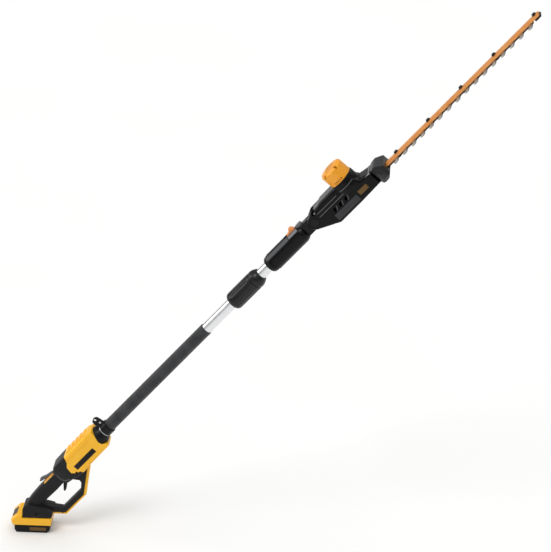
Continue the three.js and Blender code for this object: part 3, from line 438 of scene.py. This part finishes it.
def bright_metal(name, colour, roughness, scratch):
    """Bare, plated or cast metal: fine lines (their spacing in millimetres) left by the
    tool or the die break up its reflection, and faint stains grey its colour."""
    matter = new_matter(name)
    place = add(matter, "ShaderNodeTexCoord").outputs["Object"]
    lines = add(matter, "ShaderNodeTexNoise", {
        "Vector": add(matter, "ShaderNodeMapping", {
            "Vector": place, "Rotation": (0, lean, 0), "Scale": (1, 14, 1),
        }).outputs[0], "Scale": 1 / (scratch * mm), "Detail": 4,
    })
    stains = add(matter, "ShaderNodeTexNoise", {"Vector": place, "Scale": 60, "Detail": 3})
    tone = add(matter, "ShaderNodeMix", {
        0: stains.outputs["Fac"], 6: linear(colour), 7: linear("#a9aaab"),
    }, data_type="RGBA")
    polish = add(matter, "ShaderNodeMapRange", {
        "Value": lines.outputs["Fac"], "To Min": roughness - 0.1, "To Max": roughness + 0.12,
    })
    bump = add(matter, "ShaderNodeBump", {
        "Height": lines.outputs["Fac"], "Strength": 0.4, "Distance": 0.03 * mm,
    })
    shader = add(matter, "ShaderNodeBsdfPrincipled", {
        "Base Color": tone.outputs[2], "Roughness": polish.outputs[0],
        "Normal": bump.outputs[0], "Metallic": 1.0,
    })
    add(matter, "ShaderNodeOutputMaterial", {"Surface": shader.outputs[0]})
    return matter


# Zinc plating is pale and mirror-like under its scratches; black oxide on steel is dark,
# half metallic, and wears brown at the corners.
plated_steel = bright_metal("zinc_plated_steel", "#c4c6c8", 0.3, 1.2)
black_oxide = moulded_or_baked("black_oxide_steel", "#1d1b19", "#45403a", 0.42, 0.5, 0.03, 0.5, 0.6)
dress("shell_screw_foot", black_oxide, 0.3)
dress("shell_screw_body", black_oxide, 0.3)

# Further shell screws, on the right side.
more_screws = bmesh.new()
for along, up, depth in ((114, -6, 16.6), (150, -82, 12.3), (232, -82, 12.3), (404, -18, 28.6)):
    screw(more_screws, (along, -depth, up), (0, -1, 0), 2.6, 1.3)
tool_piece("shell_screws_right", more_screws, black_oxide, "handle", "dark_steel")

# ---- Trigger, lock-off lever and its cradle ----
# The trigger and the lever are glass-filled nylon and acetal mouldings on steel pins.
# The amber cradle is the lever's bearing block, let into the top of the grip.
# Amber ABS is satin, a little cloudy, and paler where a thumb rubs it.
amber_abs = moulded_or_baked("amber_abs", "#d99a3c", "#e8b662", 0.45, 0.8, 0.08)
dress("trigger", black_nylon, 1.2, 3)
dress("trigger_pin", plated_steel, 0.3)
dress("trigger_spring", plated_steel, 0.1, 1)
dress("lever_cradle", amber_abs, 0.6)
dress("lock_off_lever", grey_acetal, 1.0, 3)
dress("lever_pin", plated_steel, 0.3)
dress("trigger_switch", black_nylon, 0.6)
thumb_ribs = bmesh.new()
for along, up in ((186.4, 33.7), (190.2, 33.2), (194, 32.4), (197.8, 31.2)):
    cross_rib(thumb_ribs, (along, 0, up), 0.7, 11)
tool_piece("lever_thumb_ribs", thumb_ribs, grey_acetal, "lock_off_lever", "grey_plastic")

# ---- Nose collar, ring and strap bracket ----
# A black cone closes the housing round the pole, a bright steel ring holds it, and a
# clamp band with an eye for the shoulder strap sits in front.
dress("nose_collar", black_nylon, 1.0)
dress("retaining_ring", plated_steel, 0.5)
dress("strap_bracket", black_nylon, 0.8)
dress("bracket_screw", plated_steel, 0.3)


# ---- Poles ----
# Two 32 mm tubes of drawn, clear-anodised aluminium. Drawing leaves long faint lines
# along the tube, which stretch every reflection.
def anodised_aluminium():
    """Drawn and anodised: pale silver, satin, with streaks along the tube."""
    matter = new_matter("anodised_aluminium")
    place = add(matter, "ShaderNodeTexCoord").outputs["Object"]
    drawn = add(matter, "ShaderNodeMapping", {
        "Vector": place, "Rotation": (0, lean, 0), "Scale": (0.02, 1, 1),
    }).outputs[0]
    streaks = add(matter, "ShaderNodeTexNoise", {
        "Vector": drawn, "Scale": 1 / (1.6 * mm), "Detail": 4, "Roughness": 0.7,
    })
    handling = add(matter, "ShaderNodeTexNoise", {"Vector": place, "Scale": 14, "Detail": 4})
    tone = add(matter, "ShaderNodeMix", {
        0: streaks.outputs["Fac"], 6: linear("#d3d5d7"), 7: linear("#f2f3f4"),
    }, data_type="RGBA")
    satin = add(matter, "ShaderNodeMapRange", {
        "Value": handling.outputs["Fac"], "To Min": 0.22, "To Max": 0.42,
    })
    bump = add(matter, "ShaderNodeBump", {
        "Height": streaks.outputs["Fac"], "Strength": 0.35, "Distance": 0.04 * mm,
    })
    shader = add(matter, "ShaderNodeBsdfPrincipled", {
        "Base Color": tone.outputs[2], "Roughness": satin.outputs[0],
        "Normal": bump.outputs[0], "Metallic": 1.0,
    })
    add(matter, "ShaderNodeOutputMaterial", {"Surface": shader.outputs[0]})
    return matter


aluminium = anodised_aluminium()
pole_wall, end_chamfer = 1.5, 0.4
for node, body in (("lower_pole", "handle"), ("head_pole", "head_arm")):
    low, high = span(node)
    outer = (high.z - low.z) / 2
    inner = outer - pole_wall
    tube = bmesh.new()
    turned(tube, [(inner, low.x), (outer - end_chamfer, low.x), (outer, low.x + end_chamfer),
                  (outer, high.x - end_chamfer), (outer - end_chamfer, high.x), (inner, high.x)])
    tool_piece(node + "_tube", tube, aluminium, body, "drawn_aluminium", node)


# ---- Foam grip ----
# A sleeve of closed-cell EVA foam pushed over the lower pole. Its skin is dull, finely
# pored and never quite straight.
def eva_foam():
    """Closed-cell EVA: charcoal, very dull, with 2 mm pores; drawn coarse to show."""
    matter = new_matter("eva_foam")
    place = add(matter, "ShaderNodeTexCoord").outputs["Object"]
    pores = add(matter, "ShaderNodeTexVoronoi", {"Vector": place, "Scale": 1 / (2.2 * mm)})
    scuffs = add(matter, "ShaderNodeTexNoise", {"Vector": place, "Scale": 34, "Detail": 5})
    amount = add(matter, "ShaderNodeMapRange", {
        "Value": scuffs.outputs["Fac"], "From Min": 0.35, "From Max": 0.7,
    })
    tone = add(matter, "ShaderNodeMix", {
        0: amount.outputs[0], 6: linear("#242527"), 7: linear("#393a3d"),
    }, data_type="RGBA")
    dullness = add(matter, "ShaderNodeMapRange", {
        "Value": pores.outputs["Distance"], "To Min": 0.7, "To Max": 0.95,
    })
    bump = add(matter, "ShaderNodeBump", {
        "Height": pores.outputs["Distance"], "Strength": 0.8, "Distance": 0.35 * mm,
    })
    shader = add(matter, "ShaderNodeBsdfPrincipled", {
        "Base Color": tone.outputs[2], "Roughness": dullness.outputs[0],
        "Normal": bump.outputs[0], "IOR": 1.4, "Sheen Weight": 0.3,
    })
    add(matter, "ShaderNodeOutputMaterial", {"Surface": shader.outputs[0]})
    return matter


foam_low, foam_high = span("foam_grip")
foam_outer = (foam_high.z - foam_low.z) / 2
foam_inner = 16.3
rings, end_roll, deepest_dent = 70, 1.6, 0.25
skin_length = foam_high.x - foam_low.x - 2 * end_roll
skin = [(foam_outer, foam_low.x + end_roll + skin_length * i / rings) for i in range(rings + 1)]
foam = bmesh.new()
turned(foam, [(foam_inner, foam_low.x), (foam_outer - 1.2, foam_low.x),
              (foam_outer - 0.4, foam_low.x + 0.5), *skin,
              (foam_outer - 0.4, foam_high.x - 0.5), (foam_outer - 1.2, foam_high.x),
              (foam_inner, foam_high.x)])
for vertex in foam.verts:
    radial = Vector((0, vertex.co.y, vertex.co.z))
    if radial.length > foam_outer - 0.1:
        dent = deepest_dent * (0.5 + 0.5 * noise.noise(vertex.co * 0.045))
        vertex.co -= radial.normalized() * dent
foam_sleeve = tool_piece("foam_sleeve", foam, eva_foam(), "handle", "grip_foam", "foam_grip")

# ---- Coupling ----
# A fluted nylon sleeve that a quarter turn locks over the joint of the two poles. It
# turns on a cast body; the poles' electrical plug and socket meet inside it.
# Die-cast aluminium is grey and dull, with coarse flow lines.
cast_alloy = bright_metal("die_cast_aluminium", "#8d9093", 0.5, 2.0)
dress("coupling_body", cast_alloy, 0.4)
dress("connector_socket", elastomer, 0.4)
dress("connector_plug", elastomer, 0.4)
sleeve_low, sleeve_high = span("coupling_sleeve")
sleeve_outer = (sleeve_high.z - sleeve_low.z) / 2
rear, front = sleeve_low.x, sleeve_high.x
core_bore, mouth = 20.0, 16.6
flute_rows = [(sleeve_outer, rear + 12 + 5 * i) for i in range(16)]
coupling = bmesh.new()
turned(coupling, [
    (mouth, rear), (21.4, rear), (22.4, rear + 0.6), (25.2, rear + 3.4), (26.6, rear + 6.6),
    (sleeve_outer, rear + 10), *flute_rows, (sleeve_outer, rear + 90),
    (sleeve_outer - 0.3, rear + 90.8), (sleeve_outer - 1.5, rear + 91.4),
    (sleeve_outer - 1.5, rear + 94.4), (sleeve_outer - 0.3, rear + 95), (sleeve_outer, rear + 96),
    (sleeve_outer - 0.3, rear + 102), (sleeve_outer - 1.4, rear + 107.5), (23.4, rear + 113),
    (20.6, front - 2.2), (19.0, front - 0.4), (18.4, front), (mouth, front), (mouth, front - 8),
    (core_bore, front - 8),
    (core_bore, rear + 12), (mouth, rear + 12)], 96)
flutes, flute_depth, flute_run_out = 16, 0.9, 6
for vertex in coupling.verts:
    radial = Vector((0, vertex.co.y, vertex.co.z))
    inside = min(vertex.co.x - rear - 12, rear + 87 - vertex.co.x) / flute_run_out
    if radial.length > sleeve_outer - 0.1 and inside > 0:
        turn = math.atan2(vertex.co.y, vertex.co.z)
        depth = flute_depth * min(1, inside) * max(0, math.cos(flutes * turn)) ** 0.6
        vertex.co -= radial.normalized() * depth
# Polished nylon: smoother and shinier than the handle's, so its flutes catch the light.
sleeve_nylon = moulded_or_baked("sleeve_nylon", "#0b0b0c", "#29292b", 0.28, 0.9, 0.10, 0.34)
tool_piece("coupling_fluted_sleeve", coupling, sleeve_nylon, "coupling_sleeve",
           "black_plastic", "coupling_sleeve")

# ---- Tilt sleeve and latch ----
# Two glossy nylon halves clamp the head pole and carry the tilt joint's tongue. An
# orange thumb latch on top draws the lock bolt back; a grey angle scale lies beside it.
# Glossy nylon is near black with a tight highlight; orange ABS is satin.
gloss_nylon = moulded_or_baked("gloss_black_nylon", "#050506", "#18181a", 0.24, 1.0, 0.05, 0.15)
orange_abs = moulded_or_baked("orange_abs", "#dd8334", "#efab68", 0.40, 0.8, 0.08)
dress("sleeve_right", gloss_nylon, 0.6)
dress("sleeve_left", gloss_nylon, 0.6)
dress("tilt_latch", orange_abs, 1.0, 3)
dress("lock_bolt", plated_steel, 0.3)
dress("pivot_tongue", black_nylon, 0.8)
dress("detent_plate", plated_steel, 0.3)
dress("pivot_bolt", plated_steel, 0.4)
first_latch_rib = span("tilt_latch")[0].x + 4
latch_ribs = bmesh.new()
for i in range(3):
    cross_rib(latch_ribs, (first_latch_rib + 3.4 * i, 0, 27.5 + 0.4 * i), 0.8, 13)
tool_piece("latch_ribs", latch_ribs, orange_abs, "tilt_latch", "orange_plastic")


def wrapped(shape, radius, thickness, turns, reach, steps=10):
    """A thin curved sheet on a cylinder round the pole's axis: turns are its two edges,
    measured from the top, and reach its two ends along the pole."""
    outer = radius + thickness
    section = [shape.verts.new((along, out * math.sin(turns[0]), out * math.cos(turns[0])))
               for along, out in ((reach[0], radius), (reach[1], radius),
                                  (reach[1], outer), (reach[0], outer))]
    face = shape.faces.new(section)
    bmesh.ops.spin(shape, geom=[face, *face.edges, *section], cent=(0, 0, 0), axis=(1, 0, 0),
                   angle=turns[0] - turns[1], steps=steps)


# Printed film is even and nearly grainless. The duller, greyer sheets along the sleeve's upper flanks
# are a painted highlight, standing for the glossy sleeve's broad reflection band.
scale_film = moulded_or_baked("grey_scale_film", "#55565a", "#7b7c80", 0.40, 0.5, 0.03)
painted_highlight_nylon = moulded_or_baked("painted_highlight_nylon", "#2c2d2f", "#47484b", 0.36, 0.8, 0.08, 0.4)
seat_radius = span("sleeve_left")[1].y - 0.2
for side, hand in both_sides:
    scale = bmesh.new()
    wrapped(scale, seat_radius, 0.6, (side * math.radians(26), side * math.radians(48)),
            (1256, 1290))
    tool_piece("sleeve_scale_" + hand, scale, scale_film, "head_arm", "grey_plastic")
    # Painted highlight: a dark grey sheet where the sleeve's reflection band falls.
    highlight_sheet = bmesh.new()
    wrapped(highlight_sheet, seat_radius, 0.5, (side * math.radians(20), side * math.radians(52)),
            (1165, 1253))
    tool_piece("sleeve_painted_highlight_" + hand, highlight_sheet, painted_highlight_nylon, "head_arm", "black_plastic")
# A small hood shields the front of the latch.
hood = bmesh.new()
block(hood, (1288.5, -9.5, 17), (1309, 9.5, 28), 3.5, 4)
tool_piece("latch_hood", hood, scale_film, "head_arm", "grey_plastic")

# ---- Cutter head housings ----
# Upper and lower glossy nylon shells over motor and gearbox, parted by a belt line that
# runs round the motor's collar. Side panels, vents and a blank plate break up the flank.
dress("head_upper_housing", gloss_nylon, 0.9, 3)
dress("head_lower_housing", gloss_nylon, 0.9, 3)
dress("housing_screw", plated_steel, 0.3)
motor_place = from_world @ Vector(joints["motor_spin"]["pos_m"])
tilt_place = from_world @ Vector(joints["head_tilt"]["pos_m"])
boss_side = 30.6
collar_radius, flank = 38, 31.5
upper_belt, lower_belt = 14.6, 4.0
first_panel_rib, panel_rib_width, panel_rib_pitch = 1403, 4.6, 9
# Coarsely grained nylon: greyer and duller than the glossy shells round it.
panel_nylon = moulded_or_baked("panel_nylon", "#2a2b2d", "#434447", 0.45, 0.9, 0.12, 0.35)
for side, hand in both_sides:
    belts_and_vent_highlights = bmesh.new()
    seat = side * (flank - 0.2)
    collar_turns = [math.radians(214 + 8.6 * i) for i in range(13)]
    round_collar = [(motor_place.x + (collar_radius + 0.2) * math.cos(turn),
                     -side * (collar_radius + 0.2) * math.sin(turn), upper_belt)
                    for turn in collar_turns]
    ribbon(belts_and_vent_highlights, [(1352, side * (flank - 2.6), upper_belt), (1382, seat, upper_belt),
                   (1444, seat, upper_belt), *round_collar], 2.2, 0.9)
    ribbon(belts_and_vent_highlights, [(1356, side * (flank - 2.2), lower_belt), (1382, seat, lower_belt),
                   (1462, seat, lower_belt)], 2.2, 0.9)
    # Painted highlights: pale grey strips beside each vent, where the louvres catch the light.
    for along in (1411, 1433, 1455):
        ribbon(belts_and_vent_highlights, [(along + 5, seat, -18), (along + 12, seat, -5)], 1.8, 0.8)
    tool_piece("flank_belts_and_vent_highlights_" + hand, belts_and_vent_highlights, grey_acetal, "head", "grey_plastic")
    panel = bmesh.new()
    side_block(panel, side, side * (flank - 0.4), 1.3, (1398, -41), (1484, -22), 0.5)
    for i in range(9):
        along = first_panel_rib + panel_rib_pitch * i
        side_block(panel, side, side * flank, 1.7, (along, -39.5),
                   (along + panel_rib_width, -27.5), 0.5)
    tool_piece("flank_panel_" + hand, panel, panel_nylon, "head", "black_plastic")
    plate = bmesh.new()
    side_block(plate, side, seat, 0.7, (1492, -33), (1524, -19), 0.2)
    tool_piece("head_plate_" + hand, plate, label_film, "head", "amber_plastic")
    boss = bmesh.new()
    boss_place = (tilt_place.x, side * boss_side, tilt_place.z)
    bmesh.ops.create_cone(boss, cap_ends=True, segments=40, radius1=12, radius2=11,
                          depth=1.6, matrix=Matrix.Translation(boss_place)
                          @ Matrix.Rotation(side * -math.pi / 2, 4, "X"))
    tool_piece("pivot_boss_" + hand, boss, black_nylon, "head", "black_plastic")

# ---- Motor cap ----
# An orange ABS cap over the motor's fan: slots on top let the air in, five screws sunk
# in its rim hold it down.
# A stiff satin ABS, deeper in colour than the latch.
cap_abs = moulded_or_baked("cap_orange_abs", "#ec960c", "#f8b22c", 0.34, 0.8, 0.08)
dress("motor_cap", cap_abs, 0.7, 3)
cap_low, cap_high = span("motor_cap")
cap_screw_reach = (cap_high.y - cap_low.y) / 2 - 3.5
cap_screw_up = cap_high.z - 8.6
first_cap_screw, cap_screw_count = -52, 5
cap_screws = bmesh.new()
for i in range(cap_screw_count):
    turn = math.radians(first_cap_screw - 360 / cap_screw_count * i)
    screw(cap_screws, (motor_place.x + cap_screw_reach * math.cos(turn),
                       cap_screw_reach * math.sin(turn), cap_screw_up), (0, 0, 1), 2.8, 1.4)
tool_piece("cap_screws", cap_screws, black_oxide, "head", "dark_steel")

# ---- Motor and gearbox ----
# All of it is closed in. Laminated stator with copper windings, ball bearings, cast
# gear case, and a steel gear whose two eccentrics drive the blades.
# Enamelled copper has a warm brown shine; the cells' shrink sleeve is smooth blue PVC.
copper = bright_metal("enamelled_copper", "#9c5a2c", 0.4, 1.5)
cell_wrap = moulded_or_baked("cell_shrink_sleeve", "#2f5f9e", "#4a78b4", 0.35, 2.0, 0.03)
dress("motor_stator", copper, 0.3)
for node in ("motor_rotor", "motor_bearing_top", "motor_bearing_bottom", "drive_gear", "gear_axle"):
    dress(node, plated_steel, 0.15, 1)
for node in ("gear_case", "gear_case_cover", "control_module"):
    dress(node, cast_alloy, 0.4)
dress("terminal_block", copper, 0.3)
dress("battery_cells", cell_wrap, 0.4)

# ---- Guard shield ----
# A broad faceted nylon block ahead of the nose keeps hands and twigs off the housing. It
# is moulded in one and slides over the nose. Its broad flats show a soft satin sheen.
shield_nylon = moulded_or_baked("shield_nylon", "#0c0c0d", "#2c2c2e", 0.33, 0.9, 0.12, 0.45)
dress("guard_shield", shield_nylon, 1.4, 3)

# ---- Blades, support bar and bolts ----
# Two toothed spring-steel blades slide on each other under an orange-enamelled bar.
# Shouldered bolts run in the blades' slots; a nylon block guards the tip.
def ground_steel():
    """Spring steel, oil-blackened along its spine and ground bright across its teeth."""
    matter = new_matter("ground_spring_steel")
    place = add(matter, "ShaderNodeTexCoord").outputs["Object"]
    turned_place = add(matter, "ShaderNodeMapping", {
        "Vector": place, "Rotation": (0, lean, 0), "Scale": (1, 0.05, 1),
    }).outputs[0]
    grinding = add(matter, "ShaderNodeTexNoise", {
        "Vector": turned_place, "Scale": 1 / (1.2 * mm), "Detail": 4, "Roughness": 0.7,
    })
    oil = add(matter, "ShaderNodeTexNoise", {"Vector": place, "Scale": 30, "Detail": 4})
    across = add(matter, "ShaderNodeMath", {
        0: add(matter, "ShaderNodeSeparateXYZ", {0: place}).outputs["Y"],
    }, operation="ABSOLUTE")
    ground = add(matter, "ShaderNodeMapRange", {
        "Value": across.outputs[0], "From Min": 13 * mm, "From Max": 17 * mm,
    })
    steel = add(matter, "ShaderNodeMix", {
        0: ground.outputs[0], 6: linear("#2f2a27"), 7: linear("#d9d6d2"),
    }, data_type="RGBA")
    tone = add(matter, "ShaderNodeMix", {
        0: add(matter, "ShaderNodeMath", {0: oil.outputs["Fac"], 1: 0.35},
               operation="MULTIPLY").outputs[0],
        6: steel.outputs[2], 7: linear("#6c6865"),
    }, data_type="RGBA")
    polish = add(matter, "ShaderNodeMapRange", {
        "Value": grinding.outputs["Fac"], "To Min": 0.25, "To Max": 0.5,
    })
    bump = add(matter, "ShaderNodeBump", {
        "Height": grinding.outputs["Fac"], "Strength": 0.4, "Distance": 0.04 * mm,
    })
    shader = add(matter, "ShaderNodeBsdfPrincipled", {
        "Base Color": tone.outputs[2], "Roughness": polish.outputs[0],
        "Normal": bump.outputs[0], "Metallic": 1.0,
    })
    add(matter, "ShaderNodeOutputMaterial", {"Surface": shader.outputs[0]})
    return matter


blade_steel = ground_steel()
# Baked enamel over steel: satin, slightly clouded, pale at the bar's edges, partly as rubbed enamel
# and partly as a painted highlight along them.
orange_enamel = moulded_or_baked("orange_baked_enamel", "#cf7d27", "#efbd7e", 0.34, 2.4, 0.10)
# The blackened finish is left on the rounded edges, and draws a thin line round each tooth.
for blade in ("upper_blade", "lower_blade"):
    toothed = dress(blade, blade_steel, 0.8, 1)
    toothed.data.materials.append(black_oxide)
    toothed.modifiers["rounded"].material = 1
dress("support_bar", orange_enamel, 0.5)
dress("tip_guard", black_nylon, 1.2, 3)
washer_thickness = 1.0
washer_up = span("support_bar")[1].z + 0.05 + washer_thickness / 2
washers = bmesh.new()
for i in range(5):
    bolt_node = f"blade_bolt_{i + 1}"
    dress(bolt_node, black_oxide, 0.5)
    bolt_low, bolt_high = span(bolt_node)
    along = (bolt_low.x + bolt_high.x) / 2
    bmesh.ops.create_cone(washers, cap_ends=True, segments=28, radius1=7.6, radius2=7.2,
                          depth=washer_thickness,
                          matrix=Matrix.Translation((along, 0, washer_up)))
tool_piece("bolt_washers", washers, black_oxide, "head", "dark_steel")
